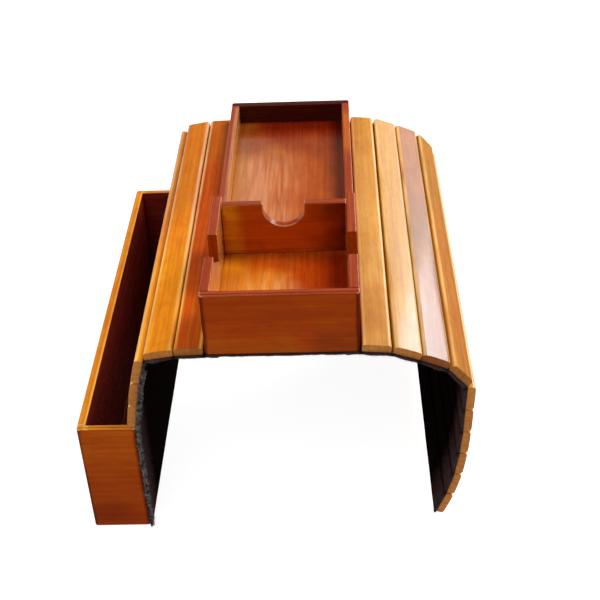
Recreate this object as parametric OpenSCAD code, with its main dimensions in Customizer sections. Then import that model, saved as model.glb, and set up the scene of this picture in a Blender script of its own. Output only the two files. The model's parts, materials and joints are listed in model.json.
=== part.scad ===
// Sofa arm tray: a tambour mat of wooden slats on a cloth backing, draped over
// a sofa arm, with an open tray glued on top of it and a deep side pocket.
// Millimetres. X runs across the arm, +Y to the rear, +Z up. The origin is the
// middle of the underside of the backing below the tray, which rests on the arm.

/* [Tray] */
// Inner width of both compartments
tray_inner_w = 90; // [60:1:140]
// Inner length of the front compartment
front_room_l = 105; // [70:1:180]
// Inner length of the rear compartment
rear_room_l = 205; // [100:1:300]
// Height of the walls round the front compartment, above the backing
tall_wall_h = 47.5; // [38:0.5:80]
// Height of the walls round the rear compartment, above the backing
low_wall_h = 22.5; // [14:0.5:30]
// Thickness of the tray walls and the divider
wall_t = 6.5; // [4:0.5:10]
// Thickness of the floor board
floor_t = 6; // [3:0.5:10]
// Length of tall side wall left standing behind the divider
tall_wall_past = 7; // [3:0.5:30]
// Radius of the eased rims
rim_r = 1; // [0.5:0.25:1.5]
// Radius of the upright outer corners
corner_r = 2.5; // [1:0.25:4]

/* [Notches] */
// Width of the finger notch in the divider, which ends in a half circle
finger_notch_w = 30; // [16:1:40]
// Depth of the straight sides of the finger notch
finger_notch_straight = 3.5; // [1:0.5:10]
// Length of the square notch in each side wall
side_notch_l = 28; // [12:1:60]
// Depth of the square notch in each side wall
side_notch_h = 22; // [8:0.5:28]

/* [Slats] */
// Width of a slat
slat_w = 19; // [12:0.5:30]
// Thickness of a slat
slat_t = 6; // [4:0.5:10]
// Gap between neighbouring slats when the mat lies flat
slat_gap = 1; // [0.5:0.1:2]
// Radius of the long upper edges of a slat
slat_edge_r = 2; // [0.5:0.25:2.75]

/* [Backing cloth] */
// Thickness of the cloth
backing_t = 1.2; // [0.6:0.1:2.5]
// Length of cloth that stands past the slats at each end
backing_past = 1; // [0:0.5:5]
// Clearance between the cloth stretches of neighbouring slats
backing_clear = 0.3; // [0.1:0.1:0.5]

/* [Side pocket] */
// Inner width of the pocket, across the arm
pocket_inner_w = 30; // [15:1:60]
// Inner depth of the pocket
pocket_inner_h = 90; // [40:1:140]
// Thickness of the pocket's long walls and its bottom
pocket_wall_t = 6; // [4:0.5:10]
// Thickness of the pocket's end panels
pocket_end_t = 5; // [3.5:0.5:10]

/* [Drape over the arm] */
// Bend in degrees at each joint to the right of the tray, from the tray outwards
right_bend_angles = [5, 15, 3, 26, 43, 0, 2, 4, 6, 7]; // [0:1:75]
// Bend in degrees at each joint to the left of the tray, the last at the pocket
left_bend_angles = [2, 7, 66, 4, 2, 9]; // [0:1:75]

/* [Hidden] */
$fn = 48;
tray_outer_w = tray_inner_w + 2 * wall_t;
tray_l = front_room_l + rear_room_l + 3 * wall_t;
slat_l = tray_l;
pitch = slat_w + slat_gap;
backing_l = slat_l + 2 * backing_past;

// Places along the tray, from the middle of its length
front_y = -tray_l / 2;
rear_y = tray_l / 2;
room_front_y = front_y + wall_t;
room_rear_y = rear_y - wall_t;
divider_y = room_front_y + front_room_l;
step_y = divider_y + wall_t + tall_wall_past;
side_notch_y = room_front_y + front_room_l / 2;

// Heights in the tray
floor_top_z = backing_t + floor_t;
tall_top_z = backing_t + tall_wall_h;
finger_notch_z = tall_top_z - finger_notch_straight;

pocket_outer_w = pocket_inner_w + 2 * pocket_wall_t;
pocket_outer_h = pocket_inner_h + pocket_wall_t;
pocket_end_y = slat_l / 2 - pocket_end_t;

first_hinge_x = tray_outer_w / 2 + slat_gap / 2;
right_count = len(right_bend_angles);
left_slat_count = len(left_bend_angles) - 1;
cut_past = 1;

honey = [0.80, 0.45, 0.13];
chestnut = [0.55, 0.24, 0.05];
mahogany = [0.48, 0.14, 0.03];
tan_end = [0.62, 0.33, 0.10];
cloth = [0.06, 0.05, 0.05];

// Heading of link i below the horizontal: the bends met so far, added up
function heading(bends, i) = i < 0 ? 0 : bends[i] + heading(bends, i - 1);

// Hinge i lies one pitch along link i - 1 from the hinge before it
function hinge_x(bends, i) =
    i == 0 ? first_hinge_x : hinge_x(bends, i - 1) + pitch * cos(heading(bends, i - 1));
function hinge_z(bends, i) =
    i == 0 ? 0 : hinge_z(bends, i - 1) - pitch * sin(heading(bends, i - 1));

// Places a link drawn flat, its hinge at the origin and its length along +X
module on_right_link(i) {
    translate([hinge_x(right_bend_angles, i), 0, hinge_z(right_bend_angles, i)])
        rotate([0, heading(right_bend_angles, i), 0])
            children();
}

module on_left_link(i) {
    mirror([1, 0, 0])
        translate([hinge_x(left_bend_angles, i), 0, hinge_z(left_bend_angles, i)])
            rotate([0, heading(left_bend_angles, i), 0])
                children();
}

// Stands the pocket, drawn upright on its bottom, on the last left link
module on_pocket_link() {
    on_left_link(left_slat_count)
        translate([slat_gap / 2 + pocket_outer_h, 0, backing_t])
            rotate([0, -90, 0])
                children();
}

// Bar section standing on the first axis, with its two upper corners eased
module bar_section(w, h, r) {
    square([w, h - r]);
    translate([r, 0])
        square([w - 2 * r, h]);
    for (x = [r, w - r])
        translate([x, h - r])
            circle(r);
}

// Rectangle on the first axis with the two corners on the far side rounded
module corner_plan(w, d, r) {
    translate([-w / 2, 0])
        square([w, d - r]);
    translate([r - w / 2, 0])
        square([w - 2 * r, d]);
    for (x = [r - w / 2, w / 2 - r])
        translate([x, d - r])
            circle(r);
}

// Extrudes a section drawn in X and Z from y0 to y1
module along_y(y0, y1) {
    translate([0, y1, 0])
        rotate([90, 0, 0])
            linear_extrude(height = y1 - y0)
                children();
}

// Extrudes a section drawn in Y and Z from x0 to x1
module along_x(x0, x1) {
    translate([x0, 0, 0])
        rotate([90, 0, 90])
            linear_extrude(height = x1 - x0)
                children();
}

// End panel across w, its inner face at y = 0 and its outer corners rounded
module end_panel(w, h, t) {
    intersection() {
        linear_extrude(height = h)
            corner_plan(w, t, corner_r);
        along_x(-w / 2, w / 2)
            bar_section(t, h, rim_r);
    }
}

module tray_floor() {
    color(mahogany)
        translate([-tray_inner_w / 2, room_front_y, backing_t])
            cube([tray_inner_w, room_rear_y - room_front_y, floor_t]);
}

module tray_front_wall() {
    color(chestnut)
        translate([0, room_front_y, backing_t])
            mirror([0, 1, 0])
                end_panel(tray_outer_w, tall_wall_h, wall_t);
}

module tray_rear_wall() {
    color(chestnut)
        translate([0, room_rear_y, backing_t])
            end_panel(tray_outer_w, low_wall_h, wall_t);
}

// Right side wall: tall round the front compartment, then a step down
module tray_side_wall() {
    color(chestnut)
        difference() {
            translate([tray_inner_w / 2, 0, backing_t]) {
                along_y(room_front_y, step_y)
                    bar_section(wall_t, tall_wall_h, rim_r);
                along_y(step_y, room_rear_y)
                    bar_section(wall_t, low_wall_h, rim_r);
            }
            translate([
                tray_inner_w / 2 - cut_past,
                side_notch_y - side_notch_l / 2,
                tall_top_z - side_notch_h
            ])
                cube([wall_t + 2 * cut_past, side_notch_l, side_notch_h + cut_past]);
        }
}

module tray_right_wall() {
    tray_side_wall();
}

module tray_left_wall() {
    mirror([1, 0, 0])
        tray_side_wall();
}

// Divider that stands on the floor board, with a round-bottomed finger notch
module tray_divider() {
    color(mahogany)
        difference() {
            translate([0, divider_y, floor_top_z])
                along_x(-tray_inner_w / 2, tray_inner_w / 2)
                    bar_section(wall_t, tall_wall_h - floor_t, rim_r);
            translate([0, divider_y - cut_past, finger_notch_z]) {
                rotate([-90, 0, 0])
                    cylinder(d = finger_notch_w, h = wall_t + 2 * cut_past);
                translate([-finger_notch_w / 2, 0, 0])
                    cube([finger_notch_w, wall_t + 2 * cut_past, finger_notch_straight + cut_past]);
            }
        }
}

module backing_centre() {
    half_w = first_hinge_x - backing_clear / 2;
    color(cloth)
        translate([-half_w, -backing_l / 2, 0])
            cube([2 * half_w, backing_l, backing_t]);
}

// Slat of a link drawn flat, glued on the cloth with its long edges eased
module slat() {
    color(honey)
        translate([slat_gap / 2, 0, backing_t])
            along_y(-slat_l / 2, slat_l / 2)
                bar_section(slat_w, slat_t, slat_edge_r);
}

// Stretch of cloth of a link drawn flat, up to x1 from the hinge
module backing_stretch(x1) {
    color(cloth)
        translate([backing_clear / 2, -backing_l / 2, 0])
            cube([x1 - backing_clear / 2, backing_l, backing_t]);
}

// Long wall of the pocket, drawn upright with its outside face at x = 0
module pocket_wall() {
    color(chestnut)
        along_y(-pocket_end_y, pocket_end_y)
            bar_section(pocket_wall_t, pocket_outer_h, rim_r);
}

module pocket_inner_wall() {
    on_pocket_link()
        pocket_wall();
}

module pocket_outer_wall() {
    on_pocket_link()
        translate([pocket_outer_w - pocket_wall_t, 0, 0])
            pocket_wall();
}

module pocket_bottom() {
    color(mahogany)
        on_pocket_link()
            translate([pocket_wall_t, -pocket_end_y, 0])
                cube([pocket_inner_w, 2 * pocket_end_y, pocket_wall_t]);
}

// Rear end panel of the pocket, drawn upright
module pocket_end() {
    color(chestnut)
        translate([pocket_outer_w / 2, pocket_end_y, 0])
            end_panel(pocket_outer_w, pocket_outer_h, pocket_end_t);
}

module pocket_rear_end() {
    on_pocket_link()
        pocket_end();
}

module pocket_front_end() {
    on_pocket_link()
        mirror([0, 1, 0])
            pocket_end();
}

module backing_pocket() {
    on_left_link(left_slat_count)
        backing_stretch(slat_gap / 2 + pocket_outer_h);
}

tray_floor();
tray_front_wall();
tray_rear_wall();
tray_left_wall();
tray_right_wall();
tray_divider();
backing_centre();
for (i = [1:right_count]) {
    on_right_link(i - 1) slat();
    on_right_link(i - 1) backing_stretch(pitch - backing_clear / 2);
}
for (i = [1:left_slat_count]) {
    on_left_link(i - 1) slat();
    on_left_link(i - 1) backing_stretch(pitch - backing_clear / 2);
}
pocket_outer_wall();
pocket_inner_wall();
pocket_bottom();
pocket_front_end();
pocket_rear_end();
backing_pocket();
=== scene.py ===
import json
import math

import bmesh
import bpy
import numpy as np
from mathutils import Matrix, Vector, noise

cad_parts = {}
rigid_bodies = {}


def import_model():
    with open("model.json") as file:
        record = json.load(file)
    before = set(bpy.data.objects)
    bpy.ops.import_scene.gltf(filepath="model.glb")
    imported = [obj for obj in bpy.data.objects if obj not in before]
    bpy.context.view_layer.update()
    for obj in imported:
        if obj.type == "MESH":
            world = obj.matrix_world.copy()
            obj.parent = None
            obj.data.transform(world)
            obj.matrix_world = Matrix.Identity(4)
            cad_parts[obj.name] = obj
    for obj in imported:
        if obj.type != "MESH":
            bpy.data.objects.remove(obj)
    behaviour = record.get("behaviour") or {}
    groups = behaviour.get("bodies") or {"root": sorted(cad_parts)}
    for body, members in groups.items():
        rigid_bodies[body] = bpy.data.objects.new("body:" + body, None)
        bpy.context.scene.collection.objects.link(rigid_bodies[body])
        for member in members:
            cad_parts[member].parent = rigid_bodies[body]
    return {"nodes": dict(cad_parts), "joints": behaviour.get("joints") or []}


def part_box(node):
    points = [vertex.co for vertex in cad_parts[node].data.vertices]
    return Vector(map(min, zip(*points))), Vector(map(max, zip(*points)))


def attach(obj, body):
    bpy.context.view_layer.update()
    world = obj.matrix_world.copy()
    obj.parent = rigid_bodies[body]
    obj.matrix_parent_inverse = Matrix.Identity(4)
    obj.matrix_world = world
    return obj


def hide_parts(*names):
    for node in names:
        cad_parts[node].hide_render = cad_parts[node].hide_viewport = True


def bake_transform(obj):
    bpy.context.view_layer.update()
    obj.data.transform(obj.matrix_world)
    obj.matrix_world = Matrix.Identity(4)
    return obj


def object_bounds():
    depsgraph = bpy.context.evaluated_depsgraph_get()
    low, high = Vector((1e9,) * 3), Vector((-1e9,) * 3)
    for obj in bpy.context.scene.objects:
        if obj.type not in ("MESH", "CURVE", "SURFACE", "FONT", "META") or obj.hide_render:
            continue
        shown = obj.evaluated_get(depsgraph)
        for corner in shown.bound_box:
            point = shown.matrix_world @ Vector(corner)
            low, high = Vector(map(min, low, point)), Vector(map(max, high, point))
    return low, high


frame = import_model()
cad_low, cad_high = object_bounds()


# Backing cloth. One sheet of black felted cloth runs under the slats, the tray
# and the pocket, glued to all of them, and is the hinge of the whole mat. Its
# cut ends are a little wavy and show grey fluff.
cloth_thick = 0.00119
cloth_half_length = 0.16575
link_pitch = 0.020
bend_reach = 0.0016


def mat_links(names, side):
    """The links of one flap outwards from the tray, as their joints give them."""
    links, heading = [], 0.0
    for joint in frame["joints"]:
        if joint["name"] in names:
            before = heading
            heading -= math.radians(joint["range_deg"][0])
            x, _, z = joint["pos_m"]
            links.append({
                "hinge": (x, z), "side": side, "before": before, "heading": heading,
                "inner": joint["parent"], "body": joint["child"],
            })
    return links


right_links = mat_links([f"right_bend_{i}" for i in range(1, 11)], 1)
left_links = mat_links([f"left_bend_{i}" for i in range(1, 6)] + ["pocket_bend"], -1)


def on_link(link, u, y, v, heading=None):
    """The point u outwards from the link's hinge and v above the cloth's underside."""
    turn = link["heading"] if heading is None else heading
    c, s = math.cos(turn), math.sin(turn)
    x, z = link["hinge"]
    return Vector((x + link["side"] * (u * c + v * s), y, z - u * s + v * c))


def on_bend(link, s, y, v):
    """The point s past the hinge along cloth that rounds the bend there."""
    if s <= -bend_reach:
        return on_link(link, s, y, v, link["before"])
    if s >= bend_reach:
        return on_link(link, s, y, v)
    half = (link["heading"] - link["before"]) / 2
    first = on_link(link, -bend_reach, y, v, link["before"])
    corner = on_link(link, 0.0, y, v / math.cos(half), link["before"] + half)
    last = on_link(link, bend_reach, y, v)
    t = (s / bend_reach + 1) / 2
    return first * (1 - t) ** 2 + corner * 2 * t * (1 - t) + last * t * t


def cloth_piece(name, place, run, mat_run, ridge=0.0, ragged=0.0006):
    """A closed stretch of cloth. place(s, y, v) puts a point of it, and mat_run is where s = 0 lies on the whole sheet."""
    rows = 112
    lower, upper, weave_low, weave_up, crease_shading = [], [], [], [], []
    for s in run:
        along = mat_run + s
        # Mask of the painted shade along each crease of the cloth.
        crease = math.exp(-(s / 0.0019) ** 2) if ridge else 0.0
        ends = [cloth_half_length + ragged * noise.noise(Vector((along * 95, edge, 3.1)))
                + 0.5 * ragged * noise.noise(Vector((along * 420, edge, 8.4))) for edge in (0.0, 5.0)]
        for j in range(rows + 1):
            y = -ends[0] + (ends[0] + ends[1]) * j / rows
            sag = 0.00016 * noise.noise(Vector((along * 70, y * 24, 0.5)))
            sag += 0.00010 * noise.noise(Vector((along * 260, y * 130, 4.5)))
            bunched = 0.75 + 0.5 * noise.noise(Vector((y * 38, mat_run * 50, 9.0))) + 0.3 * noise.noise(Vector((y * 170, mat_run * 50, 6.0)))
            sag += ridge * math.exp(-(s / 0.0021) ** 2) * bunched
            open_end = max(0.0, (abs(y) - 0.118) / 0.048)
            sag += 1.6 * ridge * open_end * (1 - math.exp(-(s / 0.0040) ** 2)) * (0.8 + 0.6 * noise.noise(Vector((y * 60, along * 40, 7.0))))
            crest = 0.00005 * noise.noise(Vector((along * 300, y * 200, 2.0)))
            lower.append(place(s, y, -sag))
            upper.append(place(s, y, cloth_thick + crest))
            weave_low.append((along, y, 0.0))
            weave_up.append((along, y, cloth_thick))
            crease_shading.append(crease)
    n, wide = len(lower), rows + 1
    faces = []
    for i in range(len(run) - 1):
        for j in range(rows):
            a, b, c, d = i * wide + j, i * wide + j + 1, (i + 1) * wide + j + 1, (i + 1) * wide + j
            faces += [(a, b, c, d), (n + d, n + c, n + b, n + a)]
        for j, flip in ((0, 1), (rows, -1)):
            a, d = i * wide + j, (i + 1) * wide + j
            faces.append((a, d, n + d, n + a)[::flip])
    for i, flip in ((0, -1), (len(run) - 1, 1)):
        for j in range(rows):
            a, b = i * wide + j, i * wide + j + 1
            faces.append((a, b, n + b, n + a)[::flip])
    mesh = bpy.data.meshes.new(name)
    mesh.from_pydata(lower + upper, [], faces)
    mesh.polygons.foreach_set("use_smooth", [True] * len(faces))
    weave = mesh.attributes.new("weave", "FLOAT_VECTOR", "POINT")
    weave.data.foreach_set("vector", np.array(weave_low + weave_up, np.float32).ravel())
    fold_shaded = mesh.attributes.new("crease", "FLOAT", "POINT")
    fold_shaded.data.foreach_set("value", np.array(crease_shading * 2, np.float32))
    shell = bmesh.new()
    shell.from_mesh(mesh)
    bmesh.ops.recalc_face_normals(shell, faces=shell.faces)
    shell.to_mesh(mesh)
    shell.free()
    mesh.set_sharp_from_angle(angle=math.radians(60))
    piece = bpy.data.objects.new(name, mesh)
    bpy.context.scene.collection.objects.link(piece)
    return piece


def node(tree, kind, inputs=None, **settings):
    """Adds a node, sets it, and gives its inputs a value or a link."""
    made = tree.nodes.new(kind)
    for key, value in settings.items():
        setattr(made, key, value)
    for key, value in (inputs or {}).items():
        if isinstance(value, bpy.types.NodeSocket):
            tree.links.new(value, made.inputs[key])
        else:
            made.inputs[key].default_value = value
    return made


def ramp(tree, factor, stops):
    """A colour ramp on a factor, with its stops as (place, colour or grey)."""
    made = node(tree, "ShaderNodeValToRGB", {"Fac": factor})
    points = made.color_ramp.elements
    while len(points) < len(stops):
        points.new(0.5)
    for point, (at, colour) in zip(points, stops):
        point.position = at
        point.color = (colour, colour, colour, 1) if isinstance(colour, float) else (*colour, 1)
    return made.outputs["Color"]


def mix(tree, kind, factor, a, b):
    """Mixes two colours in the way that kind says."""
    made = node(tree, "ShaderNodeMix", data_type="RGBA", blend_type=kind)
    for index, value in ((0, factor), (6, a), (7, b)):
        if isinstance(value, bpy.types.NodeSocket):
            tree.links.new(value, made.inputs[index])
        elif index == 0:
            made.inputs[0].default_value = value
        else:
            made.inputs[index].default_value = (*value, 1)
    return made.outputs[2]


def black_felt():
    """Black felted cloth: matted fibres, faint thin spots and grey fluff at the cut ends, with painted shade along the
    creases and a painted brownish sheen near the ends.
    """
    made = bpy.data.materials.new("black_felt")
    made.use_nodes = True
    tree = made.node_tree
    tree.nodes.clear()
    place = node(tree, "ShaderNodeAttribute", attribute_name="weave").outputs["Vector"]
    fluff = node(tree, "ShaderNodeAttribute", attribute_name="fluff").outputs["Fac"]
    lint = node(tree, "ShaderNodeTexNoise", {"Vector": place, "Scale": 1500.0, "Detail": 4.0, "Roughness": 0.7})
    matting = node(tree, "ShaderNodeTexNoise", {"Vector": place, "Scale": 240.0, "Detail": 5.0, "Roughness": 0.65})
    thin = node(tree, "ShaderNodeTexNoise", {"Vector": place, "Scale": 34.0, "Detail": 3.0})
    black = ramp(tree, matting.outputs["Fac"], [(0.3, (0.0014, 0.0007, 0.0006)), (0.7, (0.0070, 0.0036, 0.0032))])
    dusty = mix(tree, "MIX", ramp(tree, thin.outputs["Fac"], [(0.5, 0.0), (0.8, 0.3)]), black, (0.014, 0.008, 0.007))
    linted = mix(tree, "MIX", ramp(tree, lint.outputs["Fac"], [(0.66, 0.0), (0.76, 0.3)]), dusty, (0.026, 0.020, 0.018))
    across = node(tree, "ShaderNodeSeparateXYZ", {"Vector": place})
    reach = node(tree, "ShaderNodeMath", {0: across.outputs["Y"]}, operation="ABSOLUTE")
    torn = node(tree, "ShaderNodeMath", {0: matting.outputs["Fac"], 1: 0.030, 2: reach.outputs[0]}, operation="MULTIPLY_ADD")
    crease = node(tree, "ShaderNodeAttribute", attribute_name="crease").outputs["Fac"]
    # Painted sheen: a lighter brownish band near the cut ends.
    end_sheen_mask = node(tree, "ShaderNodeMapRange", {"Value": torn.outputs[0], "From Min": 0.145, "From Max": 0.180})
    end_sheened = mix(tree, "MIX", end_sheen_mask.outputs["Result"], linted, (0.066, 0.034, 0.034))
    # Painted shade: the cloth is darkened along each crease.
    fold_shaded = mix(tree, "MULTIPLY", crease, end_sheened, (0.22, 0.20, 0.20))
    near_end = node(tree, "ShaderNodeMapRange", {"Value": torn.outputs[0], "From Min": 0.171, "From Max": 0.180})
    worn = node(tree, "ShaderNodeAttribute", attribute_name="worn").outputs["Fac"]
    grey = node(tree, "ShaderNodeMath", {0: near_end.outputs["Result"], 1: worn}, operation="MULTIPLY")
    tufts = node(tree, "ShaderNodeTexNoise", {"Vector": place, "Scale": 420.0, "Detail": 4.0, "Roughness": 0.7, "Distortion": 0.6})
    fluffed = mix(tree, "MIX", ramp(tree, tufts.outputs["Fac"], [(0.44, 0.0), (0.70, 1.0)]), (0.012, 0.011, 0.014), (0.34, 0.325, 0.32))
    greyed = mix(tree, "MIX", grey.outputs[0], fold_shaded, fluffed)
    at = node(tree, "ShaderNodeTexCoord").outputs["Object"]
    blotch = node(tree, "ShaderNodeTexNoise", {"Vector": at, "Scale": 330.0, "Detail": 4.0, "Roughness": 0.7})
    blotched = mix(tree, "MIX", ramp(tree, blotch.outputs["Fac"], [(0.44, 0.0), (0.66, 1.0)]), (0.040, 0.036, 0.040), (0.62, 0.59, 0.56))
    fibre_grey = mix(tree, "MIX", worn, (0.014, 0.011, 0.011), blotched)
    colour = mix(tree, "MIX", fluff, greyed, fibre_grey)
    nap = node(tree, "ShaderNodeMath", {0: lint.outputs["Fac"], 1: matting.outputs["Fac"]}, operation="ADD")
    rough = node(tree, "ShaderNodeMapRange", {"Value": matting.outputs["Fac"], "To Min": 0.72, "To Max": 0.98})
    bump = node(tree, "ShaderNodeBump", {"Height": nap.outputs[0], "Strength": 0.7, "Distance": 0.0004})
    surface = node(tree, "ShaderNodeBsdfPrincipled", {
        "Base Color": colour, "Roughness": rough.outputs["Result"], "Normal": bump.outputs["Normal"],
        "Specular IOR Level": 0.0,
    })
    node(tree, "ShaderNodeOutputMaterial", {"Surface": surface.outputs["BSDF"]})
    return made


def new_tree(name, sockets):
    """A geometry tree with named inputs, given as (name, kind, value), and one geometry output."""
    tree = bpy.data.node_groups.new(name, "GeometryNodeTree")
    for label, kind, value in sockets:
        made = tree.interface.new_socket(name=label, in_out="INPUT", socket_type="NodeSocket" + kind)
        if value is not None:
            made.default_value = value
    tree.interface.new_socket(name="Geometry", in_out="OUTPUT", socket_type="NodeSocketGeometry")
    return tree


def fuzz_tree():
    """Grows short bent fibres out of the cut ends of the cloth."""
    tree = new_tree("Cut end fuzz", [
        ("Geometry", "Geometry", None), ("Fibres per square metre", "Float", 5.0e6),
        ("Fibre length", "Float", 0.0017), ("Fibre radius", "Float", 0.00004),
        ("Half length", "Float", cloth_half_length), ("Frayed strip", "Float", 0.0), ("Worn", "Float", 0.0),
        ("Seed", "Int", 0), ("Cloth", "Material", None),
    ])
    given = node(tree, "NodeGroupInput").outputs
    normal = node(tree, "ShaderNodeSeparateXYZ", {"Vector": node(tree, "GeometryNodeInputNormal").outputs[0]})
    facing = node(tree, "ShaderNodeMath", {0: normal.outputs["Y"]}, operation="ABSOLUTE")
    at_end = node(tree, "FunctionNodeCompare", {"A": facing.outputs[0], "B": 0.8}, data_type="FLOAT", operation="GREATER_THAN")
    place = node(tree, "ShaderNodeSeparateXYZ", {"Vector": node(tree, "GeometryNodeInputPosition").outputs[0]})
    out = node(tree, "ShaderNodeMath", {0: place.outputs["Y"]}, operation="ABSOLUTE")
    inner = node(tree, "ShaderNodeMath", {0: given["Half length"], 1: given["Frayed strip"]}, operation="SUBTRACT")
    in_strip = node(tree, "FunctionNodeCompare", {"A": out.outputs[0], "B": inner.outputs[0]}, data_type="FLOAT", operation="GREATER_THAN")
    weave = node(tree, "GeometryNodeInputNamedAttribute", {"Name": "weave"}, data_type="FLOAT_VECTOR")
    depth = node(tree, "ShaderNodeSeparateXYZ", {"Vector": weave.outputs["Attribute"]})
    below = node(tree, "FunctionNodeCompare", {"A": depth.outputs["Z"], "B": 0.0003}, data_type="FLOAT", operation="LESS_THAN")
    underside = node(tree, "FunctionNodeBooleanMath", {0: in_strip.outputs["Result"], 1: below.outputs["Result"]}, operation="AND")
    frayed = node(tree, "FunctionNodeBooleanMath", {0: at_end.outputs["Result"], 1: underside.outputs[0]}, operation="OR")
    roots = node(tree, "GeometryNodeDistributePointsOnFaces", {
        "Mesh": given["Geometry"], "Selection": frayed.outputs[0],
        "Density": given["Fibres per square metre"], "Seed": given["Seed"],
    })
    tip = node(tree, "ShaderNodeCombineXYZ", {"X": 0.0004, "Y": 0.0, "Z": given["Fibre length"]})
    half = node(tree, "ShaderNodeMath", {0: given["Fibre length"], 1: 0.55}, operation="MULTIPLY")
    middle = node(tree, "ShaderNodeCombineXYZ", {"X": 0.0, "Y": 0.0, "Z": half.outputs[0]})
    bent = node(tree, "GeometryNodeCurveQuadraticBezier", {
        "Resolution": 3, "Start": (0, 0, 0), "Middle": middle.outputs[0], "End": tip.outputs[0],
    })
    ring = node(tree, "GeometryNodeCurvePrimitiveCircle", {"Resolution": 3, "Radius": given["Fibre radius"]})
    fibre = node(tree, "GeometryNodeCurveToMesh", {"Curve": bent.outputs[0], "Profile Curve": ring.outputs[0], "Fill Caps": True})
    lean = node(tree, "FunctionNodeRandomValue", {0: (-0.9, -0.9, -3.1), 1: (0.9, 0.9, 3.1), "Seed": given["Seed"]}, data_type="FLOAT_VECTOR")
    turn = node(tree, "FunctionNodeRotateRotation", {"Rotation": roots.outputs["Rotation"], "Rotate By": lean.outputs[0]}, rotation_space="LOCAL")
    size = node(tree, "FunctionNodeRandomValue", {2: 0.35, 3: 1.3, "Seed": given["Seed"]}, data_type="FLOAT")
    fibres = node(tree, "GeometryNodeInstanceOnPoints", {
        "Points": roots.outputs["Points"], "Instance": fibre.outputs[0],
        "Rotation": turn.outputs[0], "Scale": size.outputs[1],
    })
    loose = node(tree, "GeometryNodeRealizeInstances", {"Geometry": fibres.outputs[0]})
    marked = node(tree, "GeometryNodeStoreNamedAttribute", {
        "Geometry": loose.outputs[0], "Name": "fluff", "Value": 1.0,
    }, data_type="FLOAT", domain="POINT")
    joined = node(tree, "GeometryNodeJoinGeometry")
    tree.links.new(marked.outputs[0], joined.inputs[0])
    tree.links.new(given["Geometry"], joined.inputs[0])
    aged = node(tree, "GeometryNodeStoreNamedAttribute", {
        "Geometry": joined.outputs[0], "Name": "worn", "Value": given["Worn"],
    }, data_type="FLOAT", domain="POINT")
    real = node(tree, "GeometryNodeRealizeInstances", {"Geometry": aged.outputs[0]})
    done = node(tree, "GeometryNodeSetMaterial", {"Geometry": real.outputs[0], "Material": given["Cloth"]})
    node(tree, "NodeGroupOutput", {"Geometry": done.outputs[0]})
    return tree


def bake(piece, tree, values, finish=()):
    """Runs a geometry tree and then the finishing modifiers on a piece, and makes the result its plain mesh."""
    made = piece.modifiers.new(tree.name, "NODES")
    made.node_group = tree
    for item in tree.interface.items_tree:
        if item.item_type == "SOCKET" and item.in_out == "INPUT" and item.name in values:
            made[item.identifier] = values[item.name]
    for kind, settings in finish:
        modifier = piece.modifiers.new(kind, kind)
        for key, value in settings.items():
            setattr(modifier, key, value)
    shown = piece.evaluated_get(bpy.context.evaluated_depsgraph_get())
    plain = bpy.data.meshes.new_from_object(shown)
    piece.modifiers.clear()
    piece.data = plain
    plain.name = piece.name
    return piece


felt = black_felt()
fuzz = fuzz_tree()


def finish_cloth(piece, seed, nodes, worn=0.0):
    bake(piece, fuzz, {
        "Seed": seed, "Cloth": felt, "Worn": worn, "Frayed strip": 0.003 * worn,
        "Fibre length": 0.0009 + 0.0009 * worn, "Fibres per square metre": 5.0e6 + 3.0e6 * worn,
    })
    if nodes:
        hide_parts(*nodes)


half_pitch = link_pitch / 2
tray_hinge = abs(right_links[0]["hinge"][0])
bend_run = [-half_pitch, -0.0088, -0.0076, -0.0064, -0.0053, -0.0043, -0.0034, -0.0027, -0.0021]
bend_run += [-bend_reach + 2 * bend_reach * i / 8 for i in range(9)]
bend_run += [-s for s in reversed(bend_run[:9])]

centre_half = tray_hinge - half_pitch
centre_run = [-centre_half + 2 * centre_half * i / 34 for i in range(35)]
cloth = cloth_piece("backing_cloth_centre", lambda s, y, v: Vector((s, y, v)), centre_run, 0.0)
finish_cloth(cloth, 1, ["backing_centre"])
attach(cloth, "tray")

for flap, links in (("right", right_links), ("left", left_links)):
    for i, link in enumerate(links):
        mat_run = tray_hinge + link_pitch * i
        side = link["side"]
        cloth = cloth_piece(
            f"backing_cloth_{flap}_{i + 1}", lambda s, y, v: on_bend(link, side * s, y, v),
            [side * s for s in bend_run], side * mat_run,
            ridge=0.0009 if i > 2 else 0.0005, ragged=0.0012 if flap == "left" and i > 2 else 0.0005,
        )
        own = f"backing_{flap}_{i + 1}" if link["body"] != "pocket" else "backing_pocket"
        worn = (1.0 if i > 2 else 0.3 if i == 2 else 0.0) if flap == "left" else 0.05
        finish_cloth(cloth, 10 + i * 2 + side, [own], worn)
        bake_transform(cloth)

for flap, link, count, reach, own in (
    ("right_end", right_links[-1], 10, link_pitch + 0.0003, "slat_right_10"),
    ("pocket", left_links[-1], 6, 0.0965, "pocket_inner_wall"),
):
    side = link["side"]
    steps = max(8, int((reach - half_pitch) / 0.0025))
    run = [side * (half_pitch + (reach - half_pitch) * i / steps) for i in range(steps + 1)]
    cloth = cloth_piece(
        f"backing_cloth_{flap}", lambda s, y, v: on_link(link, side * s, y, v), run,
        side * (tray_hinge + link_pitch * (count - 1)), ragged=0.0012 if flap == "pocket" else 0.0005,
    )
    finish_cloth(cloth, 40 + count, [], 1.0 if flap == "pocket" else 0.05)
    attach(cloth, link["body"])


# Slats. Fifteen bars of stained and varnished wood, ten to the right of the
# tray and five to its left, planed flat with their long upper edges rounded
# over, cut square at the ends and glued side by side on the cloth.
slat_width = 0.0196
slat_thick = 0.006
slat_length = 0.3295
slat_edge_radius = 0.0021


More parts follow.
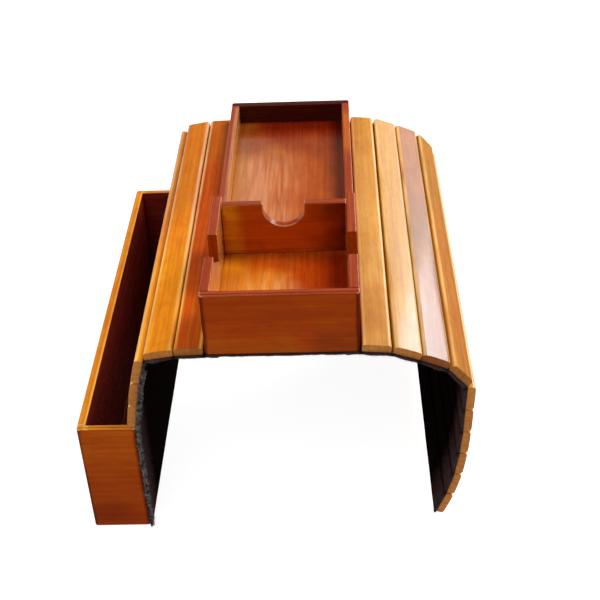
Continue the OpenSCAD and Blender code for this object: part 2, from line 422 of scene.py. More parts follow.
def stained_wood(name, pale, middle, deep, red, coat=0.16, rough=0.30, shine=0.35, sawn=False, tint=(1.0, 0.62, 0.34)):
    """Varnished stained wood, its grain along Y of the board attribute."""
    made = bpy.data.materials.new(name)
    made.use_nodes = True
    tree = made.node_tree
    tree.nodes.clear()
    place = node(tree, "ShaderNodeAttribute", attribute_name="board").outputs["Vector"]
    tone = node(tree, "ShaderNodeAttribute", attribute_name="tone").outputs["Fac"]
    pale_arris = node(tree, "ShaderNodeAttribute", attribute_name="pale_arris").outputs["Fac"]
    dull = node(tree, "ShaderNodeAttribute", attribute_name="dull").outputs["Fac"]

    def drawn(stretch, scale, detail, distortion=0.0):
        long = node(tree, "ShaderNodeMapping", {"Vector": place, "Scale": (1.0, stretch, 1.0)})
        return node(tree, "ShaderNodeTexNoise", {
            "Vector": long.outputs[0], "Scale": scale, "Detail": detail,
            "Roughness": 0.6, "Distortion": distortion,
        }).outputs["Fac"]

    bands = drawn(0.02, 300.0, 4.0, 0.4)
    fibres = drawn(0.012, 1100.0, 4.0)
    pores = drawn(0.03, 1500.0, 2.0)
    cloudy = drawn(0.35, 26.0, 3.0)
    mottled = drawn(0.5, 105.0, 4.0, 0.8)
    flamed = drawn(0.4, 17.0, 2.0, 1.2)
    arris_blotches = drawn(0.12, 90.0, 3.0)
    flow = node(tree, "ShaderNodeMapping", {"Vector": place, "Scale": (1.0, 0.07, 1.0)})
    rings = node(tree, "ShaderNodeTexWave", {
        "Vector": flow.outputs[0], "Scale": 70.0, "Distortion": 9.0, "Detail": 3.0,
        "Detail Scale": 1.4, "Detail Roughness": 0.6,
    }, bands_direction="X").outputs["Fac"]
    figure = node(tree, "ShaderNodeMath", {0: rings, 1: 0.14, 2: bands}, operation="MULTIPLY_ADD")
    plain = ramp(tree, figure.outputs[0], [(0.24, deep), (0.58, middle), (0.88, pale)])
    darker = node(tree, "ShaderNodeMath", {0: tone, 1: -1.0}, operation="MULTIPLY", use_clamp=True)
    steeped = mix(tree, "MULTIPLY", darker.outputs[0], plain, (0.30, 0.14, 0.08))
    lighter = node(tree, "ShaderNodeMath", {0: tone, 1: 1.0}, operation="MULTIPLY", use_clamp=True)
    stain = mix(tree, "MIX", lighter.outputs[0], steeped, pale)
    clouded = mix(tree, "MIX", ramp(tree, cloudy, [(0.40, 0.0), (0.70, 0.5)]), stain, red)
    flames = mix(tree, "MIX", ramp(tree, flamed, [(0.60, 0.0), (0.78, 0.5)]), clouded, deep)
    dappled = mix(tree, "MULTIPLY", ramp(tree, mottled, [(0.44, 0.0), (0.64, 0.5)]), flames, (0.84, 0.68, 0.54))
    streaked = mix(tree, "MULTIPLY", 0.5, dappled, ramp(tree, fibres, [(0.30, (0.78, 0.66, 0.52)), (0.60, (1.0, 1.0, 1.0))]))
    porous = mix(tree, "MULTIPLY", 0.3, streaked, ramp(tree, pores, [(0.30, (0.45, 0.32, 0.22)), (0.40, (1.0, 1.0, 1.0))]))
    # Paler colour in blotches along the upper long arrises, where the pale_arris mask is set.
    arris_paling = node(tree, "ShaderNodeMath", {0: pale_arris, 1: ramp(tree, arris_blotches, [(0.34, 0.25), (0.62, 0.9)])}, operation="MULTIPLY")
    with_pale_arris = porous if sawn else mix(tree, "MIX", arris_paling.outputs[0], porous, (0.96, 0.56, 0.21))
    gloss = node(tree, "ShaderNodeMapRange", {
        "Value": bands, "From Min": 0.3, "From Max": 0.7, "To Min": rough - 0.05, "To Max": rough + 0.10,
    })
    sheen = node(tree, "ShaderNodeMath", {0: dull, 1: 0.32, 2: gloss.outputs["Result"]}, operation="MULTIPLY_ADD")
    relief = node(tree, "ShaderNodeMath", {0: pores, 1: 0.5, 2: fibres}, operation="MULTIPLY_ADD")
    fine = node(tree, "ShaderNodeBump", {
        "Height": relief.outputs[0], "Strength": 0.8 if sawn else 0.35, "Distance": 0.00018,
    })
    wavy = node(tree, "ShaderNodeBump", {
        "Height": cloudy, "Strength": 0.5, "Distance": 0.0006, "Normal": fine.outputs["Normal"],
    })
    surface = node(tree, "ShaderNodeBsdfPrincipled", {
        "Base Color": with_pale_arris, "Roughness": sheen.outputs[0], "Normal": wavy.outputs["Normal"],
        "Coat Weight": coat, "Coat Roughness": 0.12, "IOR": 1.5,
        "Specular IOR Level": shine, "Specular Tint": (*tint, 1.0),
    })
    node(tree, "ShaderNodeOutputMaterial", {"Surface": surface.outputs["BSDF"]})
    return made


def patch_mask(tree, place, edges, soft):
    """1 between the edges (low and high x, low and high y, and z if given) and 0 outside them, with a wandering soft border."""
    wander = node(tree, "ShaderNodeTexNoise", {"Vector": place, "Scale": 45.0, "Detail": 3.0})
    drift = node(tree, "ShaderNodeVectorMath", {0: wander.outputs["Color"], 1: (0.5, 0.5, 0.5)}, operation="SUBTRACT")
    shifted = node(tree, "ShaderNodeVectorMath", {0: drift.outputs[0], 1: (soft, soft, soft), 2: place}, operation="MULTIPLY_ADD")
    axes = node(tree, "ShaderNodeSeparateXYZ", {"Vector": shifted.outputs[0]})
    total = None
    for axis, edge, sign in zip("XXYYZZ", edges, (1, -1) * 3):
        inside = node(tree, "ShaderNodeMapRange", {
            "Value": axes.outputs[axis], "From Min": edge - sign * soft / 2, "From Max": edge + sign * soft / 2,
        }, interpolation_type="SMOOTHSTEP").outputs["Result"]
        total = inside if total is None else node(tree, "ShaderNodeMath", {0: total, 1: inside}, operation="MULTIPLY").outputs[0]
    return total


def paint_light_shade_and_stain(finish, patches):
    """Multiplies a finish's colour in soft patches: painted light and shade for the most part, some stain. Each patch
    is the edges of patch_mask, a softness and a colour, in metres.
    """
    tree = finish.node_tree
    surface = next(n for n in tree.nodes if n.type == "BSDF_PRINCIPLED")
    base = surface.inputs["Base Color"].links[0].from_socket
    place = node(tree, "ShaderNodeTexCoord").outputs["Object"]
    for *edges, soft, colour in patches:
        base = mix(tree, "MULTIPLY", patch_mask(tree, place, edges, soft), base, colour)
    tree.links.new(base, surface.inputs["Base Color"])


def slat_tree():
    """One slat, drawn along the link and then turned and carried to its hinge."""
    tree = new_tree("Slat", [
        ("Width", "Float", slat_width), ("Thickness", "Float", slat_thick), ("Length", "Float", slat_length),
        ("Edge radius", "Float", slat_edge_radius), ("Foot radius", "Float", 0.0005),
        ("Crown", "Float", 0.00018), ("Outwards", "Float", 0.01), ("Lift", "Float", 0.0012),
        ("Turn", "Float", 0.0), ("Hinge", "Vector", (0, 0, 0)), ("Grain from", "Vector", (0, 0, 0)),
        ("Tone", "Float", 0.0), ("Dull", "Float", 0.0), ("Varnished", "Material", None), ("End grain", "Material", None),
    ])
    given = node(tree, "NodeGroupInput").outputs
    bar = node(tree, "GeometryNodeCurvePrimitiveQuadrilateral", {"Width": given["Width"], "Height": given["Thickness"]})
    height = node(tree, "ShaderNodeSeparateXYZ", {"Vector": node(tree, "GeometryNodeInputPosition").outputs[0]})
    above = node(tree, "FunctionNodeCompare", {"A": height.outputs["Y"], "B": 0.0}, data_type="FLOAT", operation="LESS_THAN")
    radius = node(tree, "GeometryNodeSwitch", {
        "Switch": above.outputs["Result"], "False": given["Foot radius"], "True": given["Edge radius"],
    }, input_type="FLOAT")
    eased = node(tree, "GeometryNodeFilletCurve", {
        "Curve": bar.outputs[0], "Count": 6, "Radius": radius.outputs[0], "Limit Radius": True,
    }, mode="POLY")
    dense = node(tree, "GeometryNodeResampleCurve", {"Curve": eased.outputs[0], "Length": 0.0005}, mode="LENGTH")
    share = node(tree, "ShaderNodeMath", {0: height.outputs["X"], 1: given["Width"]}, operation="DIVIDE")
    squared = node(tree, "ShaderNodeMath", {0: share.outputs[0], 1: share.outputs[0]}, operation="MULTIPLY")
    fall = node(tree, "ShaderNodeMath", {0: squared.outputs[0], 1: given["Crown"]}, operation="MULTIPLY")
    drop = node(tree, "ShaderNodeMath", {0: fall.outputs[0], 1: 4.0}, operation="MULTIPLY")
    down = node(tree, "ShaderNodeCombineXYZ", {"X": 0.0, "Y": drop.outputs[0], "Z": 0.0})
    crowned = node(tree, "GeometryNodeSetPosition", {
        "Geometry": dense.outputs[0], "Selection": above.outputs["Result"], "Offset": down.outputs[0],
    })
    half = node(tree, "ShaderNodeMath", {0: given["Length"], 1: 0.5}, operation="MULTIPLY")
    back = node(tree, "ShaderNodeMath", {0: given["Length"], 1: -0.5}, operation="MULTIPLY")
    start = node(tree, "ShaderNodeCombineXYZ", {"X": 0.0, "Y": back.outputs[0], "Z": 0.0})
    end = node(tree, "ShaderNodeCombineXYZ", {"X": 0.0, "Y": half.outputs[0], "Z": 0.0})
    line = node(tree, "GeometryNodeCurvePrimitiveLine", {"Start": start.outputs[0], "End": end.outputs[0]})
    spine = node(tree, "GeometryNodeResampleCurve", {"Curve": line.outputs[0], "Count": 25}, mode="COUNT")
    solid = node(tree, "GeometryNodeCurveToMesh", {
        "Curve": spine.outputs[0], "Profile Curve": crowned.outputs[0], "Fill Caps": True,
    })
    smooth = node(tree, "GeometryNodeSetShadeSmooth", {"Geometry": solid.outputs[0], "Shade Smooth": True})
    local = node(tree, "ShaderNodeVectorMath", {
        0: node(tree, "GeometryNodeInputPosition").outputs[0], 1: given["Grain from"],
    }, operation="ADD")
    grained = node(tree, "GeometryNodeStoreNamedAttribute", {
        "Geometry": smooth.outputs[0], "Name": "board", "Value": local.outputs[0],
    }, data_type="FLOAT_VECTOR", domain="POINT")
    toned = node(tree, "GeometryNodeStoreNamedAttribute", {
        "Geometry": grained.outputs[0], "Name": "tone", "Value": given["Tone"],
    }, data_type="FLOAT", domain="POINT")
    dulled = node(tree, "GeometryNodeStoreNamedAttribute", {
        "Geometry": toned.outputs[0], "Name": "dull", "Value": given["Dull"],
    }, data_type="FLOAT", domain="POINT")
    local_axes = node(tree, "ShaderNodeSeparateXYZ", {"Vector": node(tree, "GeometryNodeInputPosition").outputs[0]})
    off_centre = node(tree, "ShaderNodeMath", {0: local_axes.outputs["X"]}, operation="ABSOLUTE")
    from_edge = node(tree, "ShaderNodeMath", {0: given["Width"], 1: -0.5, 2: off_centre.outputs[0]}, operation="MULTIPLY_ADD")
    from_top = node(tree, "ShaderNodeMath", {0: given["Thickness"], 1: -0.5, 2: local_axes.outputs["Z"]}, operation="MULTIPLY_ADD")
    # pale_arris marks the upper long arrises, which the finish paints paler.
    beside = node(tree, "ShaderNodeMapRange", {"Value": from_edge.outputs[0], "From Min": -0.0028, "From Max": -0.0012})
    high = node(tree, "ShaderNodeMapRange", {"Value": from_top.outputs[0], "From Min": -0.0026, "From Max": -0.0012})
    arris = node(tree, "ShaderNodeMath", {0: beside.outputs["Result"], 1: high.outputs["Result"]}, operation="MULTIPLY")
    with_pale_arris = node(tree, "GeometryNodeStoreNamedAttribute", {
        "Geometry": dulled.outputs[0], "Name": "pale_arris", "Value": arris.outputs[0],
    }, data_type="FLOAT", domain="POINT")
    half_thick = node(tree, "ShaderNodeMath", {0: given["Thickness"], 1: 0.5, 2: given["Lift"]}, operation="MULTIPLY_ADD")
    seat = node(tree, "ShaderNodeCombineXYZ", {"X": given["Outwards"], "Y": 0.0, "Z": half_thick.outputs[0]})
    seated = node(tree, "GeometryNodeTransform", {"Geometry": with_pale_arris.outputs[0], "Translation": seat.outputs[0]})
    heading = node(tree, "ShaderNodeCombineXYZ", {"X": 0.0, "Y": given["Turn"], "Z": 0.0})
    placed = node(tree, "GeometryNodeTransform", {
        "Geometry": seated.outputs[0], "Translation": given["Hinge"], "Rotation": heading.outputs[0],
    })
    real = node(tree, "GeometryNodeRealizeInstances", {"Geometry": placed.outputs[0]})
    coated = node(tree, "GeometryNodeSetMaterial", {"Geometry": real.outputs[0], "Material": given["Varnished"]})
    normal = node(tree, "ShaderNodeSeparateXYZ", {"Vector": node(tree, "GeometryNodeInputNormal").outputs[0]})
    facing = node(tree, "ShaderNodeMath", {0: normal.outputs["Y"]}, operation="ABSOLUTE")
    at_end = node(tree, "FunctionNodeCompare", {"A": facing.outputs[0], "B": 0.9}, data_type="FLOAT", operation="GREATER_THAN")
    sawn = node(tree, "GeometryNodeSetMaterial", {
        "Geometry": coated.outputs[0], "Selection": at_end.outputs["Result"], "Material": given["End grain"],
    })
    node(tree, "NodeGroupOutput", {"Geometry": sawn.outputs[0]})
    return tree


honey_varnish = stained_wood(
    "honey_varnished_slat", (0.78, 0.42, 0.100), (0.66, 0.300, 0.050), (0.50, 0.180, 0.018), (0.60, 0.225, 0.024),
    tint=(1.0, 0.85, 0.75),
)
glossy_varnish = stained_wood(
    "glossy_varnished_slat", (0.82, 0.42, 0.060), (0.72, 0.290, 0.020), (0.55, 0.165, 0.007), (0.66, 0.205, 0.009),
    coat=0.2, rough=0.33, shine=0.26, tint=(0.86, 0.95, 1.0),
)
satin_varnish = stained_wood(
    "satin_varnished_slat", (0.80, 0.40, 0.050), (0.70, 0.265, 0.013), (0.53, 0.150, 0.005), (0.66, 0.190, 0.006),
    coat=0.03, rough=0.42, shine=0.10,
)
amber_varnish = stained_wood(
    "amber_varnished_slat", (0.88, 0.370, 0.030), (0.79, 0.245, 0.008), (0.60, 0.135, 0.003), (0.74, 0.165, 0.003),
    coat=0.07, rough=0.34, shine=0.2,
)
russet_varnish = stained_wood(
    "russet_varnished_slat", (0.82, 0.220, 0.018), (0.74, 0.125, 0.006), (0.56, 0.066, 0.003), (0.70, 0.085, 0.003),
    coat=0.07, rough=0.34, shine=0.2,
)
rosy_varnish = glossy_varnish.copy()
rosy_varnish.name = "rosy_varnished_slat"
# Colour patches along the slats. The first right slat is lighter and bluer over its middle and front, a painted sheen,
# and darker at its rear. The glossy slats are bluer all over, the third right slat is darker over its front half and
# the satin slats are darker towards the rear. The amber left slats get painted shade at the rear and painted light at
# the front, and the first left slat gets painted light at both ends.
paint_light_shade_and_stain(honey_varnish, [
    (-0.30, 0.30, -0.10, 0.025, 0.040, (1.12, 1.22, 1.45)), (-0.30, 0.30, 0.125, 0.30, 0.030, (0.92, 0.86, 0.6)),
])
paint_light_shade_and_stain(glossy_varnish, [(-0.30, 0.30, -0.30, 0.30, 0.010, (0.90, 1.06, 1.2))])
paint_light_shade_and_stain(rosy_varnish, [(-0.30, 0.30, -0.30, 0.015, 0.060, (0.80, 0.88, 1.0))])
paint_light_shade_and_stain(satin_varnish, [(-0.30, 0.30, 0.035, 0.30, 0.060, (0.86, 0.97, 1.0))])
paint_light_shade_and_stain(amber_varnish, [
    (-0.30, 0.30, 0.010, 0.30, 0.060, (0.80, 0.79, 1.2)), (-0.30, 0.30, -0.30, -0.040, 0.050, (1.05, 1.2, 0.85)),
])
paint_light_shade_and_stain(russet_varnish, [
    (-0.30, 0.30, 0.090, 0.30, 0.050, (0.86, 1.3, 1.4)), (-0.30, 0.30, -0.30, -0.085, 0.040, (1.2, 1.35, 0.6)),
])
slat_finishes = {
    "right": [honey_varnish, glossy_varnish, rosy_varnish, satin_varnish, glossy_varnish] + [satin_varnish] * 5,
    "left": [russet_varnish] + [amber_varnish] * 4,
}
slat_end_grain = stained_wood(
    "slat_end_grain", (0.60, 0.27, 0.062), (0.48, 0.185, 0.034), (0.32, 0.100, 0.014), (0.45, 0.138, 0.017),
    coat=0.05, rough=0.5, shine=0.2, sawn=True,
)
slat = slat_tree()
# The fifth right slat's paler tone is a painted highlight on its steep outer face.
slat_tones = {"right": (0.30, -0.08, -0.86, -0.36, 0.5, 0.0, 0.2, -0.1, 0.1, 0.0), "left": (-0.46, 0.12, 0.18, -0.1, 0.1)}
slat_dullness = {"right": (0.2, 0.0, 0.0, 0.5, 0.0, 0.3, 0.3, 0.3, 0.3, 0.3), "left": (0.3, 0.3, 0.3, 0.3, 0.3)}
end_bevel = {"width": 0.0003, "segments": 2, "limit_method": "ANGLE", "angle_limit": math.radians(60)}
even_shading = ("WEIGHTED_NORMAL", {"weight": 100, "keep_sharp": True})

for flap, links in (("right", right_links), ("left", left_links[:5])):
    for i, link in enumerate(links):
        bar = bpy.data.objects.new(f"{flap}_slat_{i + 1}", bpy.data.meshes.new("slat"))
        bpy.context.scene.collection.objects.link(bar)
        x, z = link["hinge"]
        side = link["side"]
        bake(bar, slat, {
            "Outwards": side * link_pitch / 2, "Turn": side * link["heading"],
            "Hinge": (x, 0.0, z), "Grain from": (0.37 * (i + 1), 1.31 * (i + 1) * side, 0.11 * i),
            "Tone": slat_tones[flap][i], "Dull": slat_dullness[flap][i], "Varnished": slat_finishes[flap][i], "End grain": slat_end_grain,
        }, [("BEVEL", end_bevel), even_shading])
        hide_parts(f"slat_{flap}_{i + 1}")
        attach(bar, link["body"])


# Tray floor. One board of the same stained wood, glued on the cloth between
# the walls and varnished after gluing, so its surface is smooth and glossy.


def board_from(name, source, grain, seed, finishes, pick=None, bevel=0.0007, level_only=False):
    """A board with the CAD node's shape, its grain along the axis given, the finish that pick(centre, normal) names on each face, and eased arrises in the last finish, or only the level upper ones."""
    mesh = frame["nodes"][source].data.copy()
    mesh.materials.clear()
    for finish in finishes:
        mesh.materials.append(finish)
    shape = bmesh.new()
    shape.from_mesh(mesh)
    bmesh.ops.remove_doubles(shape, verts=shape.verts, dist=1e-6)
    bmesh.ops.dissolve_limit(shape, angle_limit=math.radians(0.3), verts=shape.verts, edges=shape.edges)
    for face in shape.faces:
        face.smooth = True
        face.material_index = pick(face.calc_center_median(), face.normal) if pick else 0
    shape.to_mesh(mesh)
    shape.free()
    made = bpy.data.objects.new(name, mesh)
    bpy.context.scene.collection.objects.link(made)
    eased = made.modifiers.new("eased", "BEVEL")
    eased.width, eased.segments = bevel, 3
    eased.limit_method, eased.angle_limit = "ANGLE", math.radians(40)
    eased.material = len(finishes) - 1
    even = made.modifiers.new("even", "WEIGHTED_NORMAL")
    even.weight, even.keep_sharp = 100, True
    shown = made.evaluated_get(bpy.context.evaluated_depsgraph_get())
    plain = bpy.data.meshes.new_from_object(shown)
    made.modifiers.clear()
    made.data = plain
    plain.name = name
    for face in plain.polygons:
        if level_only and face.material_index == len(finishes) - 1 and face.normal.z < 0.15:
            face.material_index = 0
    at = np.array([v.co for v in plain.vertices], float).reshape(-1, 3)
    if grain == "X":
        at = at[:, (1, 0, 2)]
    at = at + np.array([0.41, 1.7, 0.23]) * seed
    spot = plain.attributes.new("board", "FLOAT_VECTOR", "POINT")
    spot.data.foreach_set("vector", at.astype(np.float32).ravel())
    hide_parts(source)
    return made


floor_varnish = stained_wood(
    "golden_floor_varnish", (0.84, 0.300, 0.026), (0.74, 0.230, 0.014), (0.60, 0.155, 0.007), (0.66, 0.170, 0.007),
    coat=0.35, rough=0.24, shine=0.5,
)


def sheen_and_scuffs(finish, patches):
    """Lays pale lengthwise streaks over a finish, painted sheen of the varnish and partly scuffs, in patches like those
    of paint_light_shade_and_stain.
    """
    tree = finish.node_tree
    surface = next(n for n in tree.nodes if n.type == "BSDF_PRINCIPLED")
    base = surface.inputs["Base Color"].links[0].from_socket
    place = node(tree, "ShaderNodeTexCoord").outputs["Object"]
    long = node(tree, "ShaderNodeMapping", {"Vector": place, "Scale": (1.0, 0.055, 1.0)})
    streaks = node(tree, "ShaderNodeTexNoise", {"Vector": long.outputs[0], "Scale": 300.0, "Detail": 3.0, "Roughness": 0.6})
    # worn is the streak mask of the painted sheen and scuffs.
    worn = ramp(tree, streaks.outputs["Fac"], [(0.36, 0.0), (0.72, 0.55)])
    for *edges, soft, colour in patches:
        inside = patch_mask(tree, place, edges, soft)
        factor = node(tree, "ShaderNodeMath", {0: inside, 1: worn}, operation="MULTIPLY")
        base = mix(tree, "MIX", factor.outputs[0], base, colour)
    tree.links.new(base, surface.inputs["Base Color"])


divider_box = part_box("tray_divider")
room_split = divider_box[0].y
# Painted shade and light on the floor. It is darker towards the right wall, towards the rear wall and beside the
# divider, where the walls shade it and the glossy floor mirrors them. It is lighter in the front room's left rear
# corner, painted light, and paler along the rear room's left side, a painted reflection. The whole rear room is a
# little darker too.
paint_light_shade_and_stain(floor_varnish, [
    (0.002, 0.080, -0.20, room_split, 0.030, (0.58, 0.22, 0.10)),
    (0.030, 0.080, -0.20, room_split, 0.016, (0.55, 0.30, 0.30)),
    (-0.080, -0.010, -0.20, room_split, 0.024, (0.97, 0.96, 0.9)),
    (-0.080, -0.032, room_split - 0.022, room_split, 0.012, (1.3, 1.6, 1.1)),
    (-0.028, 0.004, room_split - 0.022, room_split, 0.016, (0.75, 0.40, 0.3)),
    (-0.080, 0.080, room_split, 0.20, 0.001, (0.68, 0.58, 0.85)),
    (-0.080, -0.033, room_split, 0.20, 0.010, (1.1, 1.6, 1.6)),
    (-0.080, -0.020, room_split, 0.20, 0.016, (0.88, 0.82, 0.70)),
    (-0.012, 0.080, room_split, 0.20, 0.030, (0.86, 0.62, 0.5)),
    (-0.080, 0.080, 0.105, 0.20, 0.070, (0.56, 0.38, 0.36)),
    (-0.026, 0.080, 0.122, 0.20, 0.020, (0.92, 0.60, 0.5)),
    (-0.026, 0.080, 0.140, 0.20, 0.016, (0.68, 0.40, 0.5)),
    (0.034, 0.080, -0.010, 0.20, 0.018, (0.50, 0.38, 0.40)),
])
# Painted sheen, partly scuffs: pale streaks in the middle of the rear room and in the front room.
sheen_and_scuffs(floor_varnish, [
    (-0.038, 0.004, -0.045, 0.095, 0.030, (0.74, 0.37, 0.18)), (-0.036, 0.006, -0.200, -0.085, 0.022, (0.96, 0.50, 0.16)),
])
board = board_from("tray_floor_board", "tray_floor", "Y", 21, [floor_varnish])
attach(board, "tray")


# Tray walls. Four boards on edge, glued round the floor: both side walls are
# tall beside the front room, notched there, and step down behind the divider.
wall_varnish = stained_wood(
    "chestnut_wall_varnish", (0.47, 0.092, 0.0028), (0.39, 0.056, 0.0014), (0.30, 0.034, 0.0009), (0.35, 0.040, 0.0009),
    coat=0.06, rough=0.28, shine=0.0,
)
rim_varnish = stained_wood(
    "mahogany_rim_varnish", (0.44, 0.084, 0.022), (0.34, 0.049, 0.013), (0.21, 0.025, 0.007), (0.29, 0.038, 0.011),
    coat=0.14, rough=0.26, shine=0.35,
)
# Painted shade: the rear wall's inside and its rim are near black maroon.
shade_varnish = stained_wood(
    "painted_shade_inner_varnish", (0.085, 0.012, 0.007), (0.060, 0.006, 0.004), (0.035, 0.003, 0.003), (0.05, 0.005, 0.003),
    coat=0.10, rough=0.28, shine=0.3,
)
# Painted sheen: the side walls' inner faces are paler than the walls, for the reflection they catch.
inner_varnish = stained_wood(
    "painted_sheen_inner_varnish", (0.96, 0.560, 0.200), (0.90, 0.440, 0.130), (0.72, 0.270, 0.050), (0.82, 0.330, 0.070),
    coat=0.8, rough=0.24, shine=0.5,
)
# Painted highlight along the eased arrises and on the notch floors, partly wear.
arris_varnish = stained_wood(
    "arris_highlight_and_wear", (0.86, 0.46, 0.30), (0.50, 0.17, 0.09), (0.26, 0.045, 0.022), (0.50, 0.15, 0.08), coat=0.3, rough=0.2, shine=0.5,
)
# The right rim is lighter beside the rear room. A pale bluish strip along the inner half of the left rim is a painted
# reflection.
paint_light_shade_and_stain(rim_varnish, [
    (0.040, 0.080, 0.070, 0.140, 0.020, (1.5, 2.3, 0.9)), (-0.0480, -0.040, -0.030, 0.155, 0.0016, (1.4, 3.4, 5.5)),
])
rear_inside_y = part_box("tray_rear_wall")[0].y
front_low, front_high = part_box("tray_front_wall")
low_rim_z, high_rim_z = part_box("tray_rear_wall")[1].z + 0.0005, front_high.z
# On the front face: darker strips at both upright ends, painted shade over its upper part, lighter low on the left and
# darker low on the right.
front_corner = (-0.20, front_low.y + 0.002, 0.002, (0.40, 0.30, 0.30))
paint_light_shade_and_stain(wall_varnish, [
    (front_low.x - 0.02, front_low.x + 0.0022, *front_corner), (front_high.x - 0.0026, front_high.x + 0.02, *front_corner),
    (-0.20, 0.20, -0.20, front_low.y + 0.012, 0.026, 0.20, 0.014, (0.88, 0.82, 0.5)),
    (-0.20, 0.010, -0.20, front_low.y + 0.012, -0.10, 0.0125, 0.012, (1.04, 1.4, 1.8)),
    (0.022, 0.20, -0.20, front_low.y + 0.012, -0.10, 0.020, 0.014, (0.72, 0.75, 1.1)),
])


def box_finish(centre, normal):
    """Rims took more stain than faces. The rear wall's inside and rim are a dark painted shade, the side walls' insides
    are glossiest and paler, a painted sheen, and the level floors of the side notches take the edge finish, a painted
    glare.
    """
    if normal.z > 0.5:
        if abs(centre.x) > 0.04 and low_rim_z < centre.z < high_rim_z - 0.002:
            return 4
        return 2 if centre.y > rear_inside_y else 1
    if abs(centre.y - rear_inside_y) < 0.0005 and normal.y < -0.9:
        return 2
    return 3 if abs(centre.x) < 0.046 and centre.x * normal.x < -0.04 else 0


for source, grain, seed in (
    ("tray_front_wall", "X", 31), ("tray_rear_wall", "X", 32), ("tray_left_wall", "Y", 33), ("tray_right_wall", "Y", 34),
):
    edge = shade_varnish if source == "tray_rear_wall" else arris_varnish
    board = board_from(source + "_board", source, grain, seed, [wall_varnish, rim_varnish, shade_varnish, inner_varnish, edge], box_finish, level_only=grain == "X")
    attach(board, "tray")


# Divider. A darker board across the tray, glued on the floor between the side
# walls, with a round-bottomed finger notch cut out of its top.
divider_varnish = stained_wood(
    "mahogany_divider_varnish", (0.60, 0.155, 0.008), (0.54, 0.095, 0.004), (0.44, 0.052, 0.002), (0.50, 0.064, 0.002),
    coat=0.1, rough=0.28, shine=0.25,
)
# Painted light and shade on the divider: its left end is much lighter, a painted reflection; its middle and right are
# lighter, painted light; its right end is darkened, painted shade.
paint_light_shade_and_stain(divider_varnish, [
    (-0.080, -0.034, -0.20, 0.20, 0.016, (1.6, 4.0, 4.0)),
    (-0.018, 0.080, -0.20, 0.20, 0.060, (1.18, 1.05, 0.8)),
    (0.030, 0.080, -0.20, 0.20, 0.030, (0.27, 0.13, 0.3)),
])
board = board_from("tray_divider_board", "tray_divider", "X", 41, [divider_varnish, rim_varnish, arris_varnish], box_finish)
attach(board, "tray")


# Side pocket. A deep narrow box of five boards glued together, its long inner
# wall glued on the cloth below the last left slat.
# Painted shade: the pocket's faces are a darker copy of its honey rim wood.
pocket_varnish = stained_wood(
    "painted_shade_pocket_varnish", (0.43, 0.082, 0.0030), (0.355, 0.053, 0.0016), (0.285, 0.036, 0.0010), (0.32, 0.040, 0.0011),
    coat=0.06, rough=0.28, shine=0.0,
)
pocket_rim_varnish = stained_wood(
    "honey_pocket_rim_varnish", (0.90, 0.40, 0.040), (0.80, 0.285, 0.016), (0.60, 0.160, 0.007), (0.70, 0.200, 0.008),
)
# Painted shade, darker still, on every face that looks into the pocket.
pocket_shade_varnish = stained_wood(
    "painted_shade_pocket_inside", (0.34, 0.046, 0.026), (0.25, 0.030, 0.018), (0.16, 0.016, 0.011), (0.22, 0.022, 0.013),
    coat=0.3, rough=0.28, shine=0.4, tint=(1.0, 0.6, 0.6),
)
# Painted highlight along the level arrises, partly wear.
pocket_arris_varnish = stained_wood(
    "pocket_arris_highlight_and_wear", (0.98, 0.74, 0.44), (0.94, 0.60, 0.28), (0.74, 0.32, 0.10), (0.86, 0.44, 0.16), coat=0.3, rough=0.2, shine=0.5,
)
pocket_low = Vector([min(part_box(n)[0][k] for n in ("pocket_outer_wall", "pocket_front_end")) for k in range(3)])
pocket_high = Vector([max(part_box(n)[1][k] for n in ("pocket_inner_wall", "pocket_rear_end")) for k in range(3)])
pocket_middle = (pocket_low + pocket_high) / 2
pocket_corner = (-0.20, pocket_low.y + 0.002, 0.003, (0.36, 0.26, 0.26))
# Painted highlight: a pale strip along the inner edge of the outer wall's rim.
paint_light_shade_and_stain(pocket_rim_varnish, [(pocket_low.x + 0.0044, pocket_low.x + 0.008, -0.20, 0.20, 0.0012, (1.12, 1.6, 3.4))])
# On the pocket's front face: darker strips at both upright ends, lighter over its upper part and darker at the bottom
# of its outer half.
paint_light_shade_and_stain(pocket_varnish, [
    (pocket_low.x - 0.02, pocket_low.x + 0.0018, *pocket_corner), (pocket_high.x - 0.0024, pocket_high.x + 0.02, *pocket_corner),
    (-0.20, 0.0, -0.20, pocket_low.y + 0.020, -0.104, 0.0, 0.040, (1.13, 1.36, 1.2)),
    (-0.20, pocket_middle.x + 0.010, -0.20, pocket_low.y + 0.020, -0.20, -0.133, 0.020, (0.76, 0.66, 0.9)),
])


def pocket_finish(centre, normal):
    """Honey rims, the outside a darker copy in painted shade, and darker maroon, painted shade, wherever a face looks
    into the pocket.
    """
    if normal.z > 0.5:
        return 1 if centre.z > pocket_middle.z else 2
    towards = pocket_middle - centre
    return 2 if max(towards.x * normal.x, towards.y * normal.y) > 0.001 else 0


for source, grain, seed, slot in (
    ("pocket_outer_wall", "Y", 51, "pocket_wood"), ("pocket_inner_wall", "Y", 52, "pocket_wood"),
    ("pocket_front_end", "X", 53, "pocket_wood"), ("pocket_rear_end", "X", 54, "pocket_wood"),
    ("pocket_bottom", "Y", 55, "pocket_inside_wood"),
):
    board = board_from(source + "_board", source, grain, seed, [pocket_varnish, pocket_rim_varnish, pocket_shade_varnish, pocket_arris_varnish], pocket_finish, level_only=True)
    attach(board, "pocket")


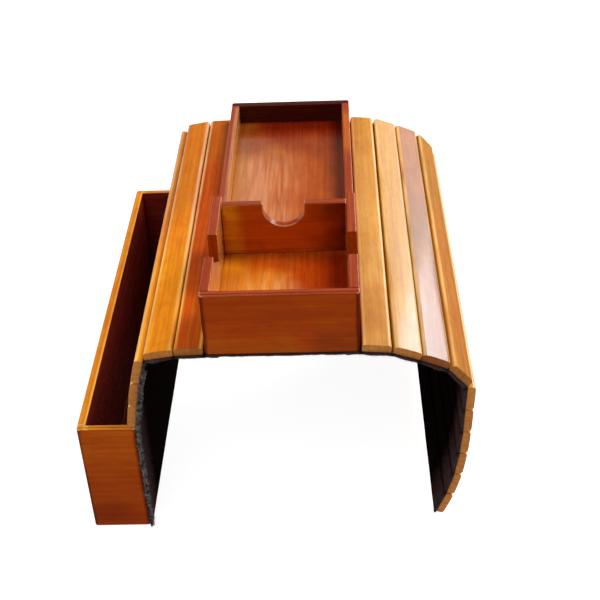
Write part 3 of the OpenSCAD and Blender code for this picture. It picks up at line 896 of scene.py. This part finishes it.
# Floor, light and camera. A pale studio floor below the pocket, a high soft
# light from the back right, a low panel that the right slats mirror, and fill.
floor_mesh = bpy.data.meshes.new("studio_floor")
floor_z = cad_low.z - 0.001
floor_mesh.from_pydata([(-30, -30, floor_z), (30, -30, floor_z), (30, 30, floor_z), (-30, 30, floor_z)], [], [(0, 1, 2, 3)])
studio_floor = bpy.data.objects.new("studio_floor", floor_mesh)
bpy.context.scene.collection.objects.link(studio_floor)
pale = bpy.data.materials.new("pale_floor")
pale.use_nodes = True
pale_tree = pale.node_tree
pale_shader = pale_tree.nodes["Principled BSDF"]
speck = node(pale_tree, "ShaderNodeTexNoise", {"Scale": 3.0, "Detail": 2.0})
pale_colour = ramp(pale_tree, speck.outputs["Fac"], [(0.3, 0.40), (0.7, 0.42)])
pale_tree.links.new(pale_colour, pale_shader.inputs["Base Color"])
pale_shader.inputs["Roughness"].default_value = 0.9
pale_shader.inputs["Emission Color"].default_value = (1, 1, 1, 1)
pale_shader.inputs["Emission Strength"].default_value = 0.94
floor_mesh.materials.append(pale)


def soft_light(name, place, aim, size, power, colour):
    """A soft rectangular light at place, turned to aim."""
    data = bpy.data.lights.new(name, "AREA")
    data.shape, data.size, data.size_y = "RECTANGLE", size[0], size[1]
    data.energy, data.color = power, colour
    lamp = bpy.data.objects.new(name, data)
    bpy.context.scene.collection.objects.link(lamp)
    lamp.location = place
    lamp.rotation_mode = "QUATERNION"
    lamp.rotation_quaternion = (Vector(aim) - Vector(place)).to_track_quat("-Z", "Y")
    return lamp


soft_light("key", (0.62, 0.36, 1.30), (0, 0, 0), (0.6, 0.6), 16.5, (1.0, 0.98, 0.95))
soft_light("left_fill", (-0.9, 0.1, 1.2), (-0.08, 0, 0), (0.8, 0.8), 8.0, (1.0, 0.98, 0.95))
soft_light("front_fill", (-0.35, -1.05, 1.25), (0, -0.1, 0), (0.6, 0.6), 5.0, (1.0, 0.97, 0.93))
soft_light("sheen_panel", (1.08, 1.30, 0.83), (0.08, -0.05, 0), (0.44, 0.5), 14.5, (0.91, 0.94, 1.0))
soft_light("inside_sheen", (-0.135, 1.30, 0.80), (0, 0, 0), (0.085, 0.34), 0.095, (0.94, 0.95, 1.0))
soft_light("low_sheen_panel", (0.65, 1.30, 0.44), (0.08, -0.05, 0), (0.42, 0.38), 1.55, (1.0, 0.97, 0.84))
world = bpy.data.worlds.new("studio")
world.use_nodes = True
sky = world.node_tree
towards = node(sky, "ShaderNodeTexCoord").outputs["Generated"]
backwards = node(sky, "ShaderNodeVectorMath", {0: towards, 1: (0.55, 0.835, 0.0)}, operation="DOT_PRODUCT")
spread = node(sky, "ShaderNodeMapRange", {"Value": backwards.outputs["Value"], "From Min": -0.8, "From Max": 0.9})
dim = ramp(sky, spread.outputs["Result"], [(0.0, 0.05), (1.0, 0.16)])
seen = node(sky, "ShaderNodeLightPath").outputs["Is Camera Ray"]
sky.links.new(mix(sky, "MIX", seen, dim, (0.94, 0.94, 0.94)), sky.nodes["Background"].inputs["Color"])
bpy.context.scene.world = world
bpy.context.scene.view_settings.view_transform = "Standard"

yaw, pitch, roll = math.radians(-2.21), math.radians(35.76), math.radians(-2.58)
ahead = Vector((math.sin(yaw) * math.cos(pitch), math.cos(yaw) * math.cos(pitch), -math.sin(pitch)))
level = Vector((math.cos(yaw), -math.sin(yaw), 0.0))
above = level.cross(ahead)
turned_x = math.cos(roll) * level + math.sin(roll) * above
turned_y = -math.sin(roll) * level + math.cos(roll) * above
camera_data = bpy.data.cameras.new("camera")
camera_data.sensor_width = 36.0
camera_data.lens = 36.0 * 1129.4 / 600
camera = bpy.data.objects.new("camera", camera_data)
bpy.context.scene.collection.objects.link(camera)
axes = Matrix((turned_x, turned_y, -ahead)).transposed()
camera.matrix_world = Matrix.Translation((0.0358, -0.7478, 0.4645)) @ axes.to_4x4()
bpy.context.scene.camera = camera
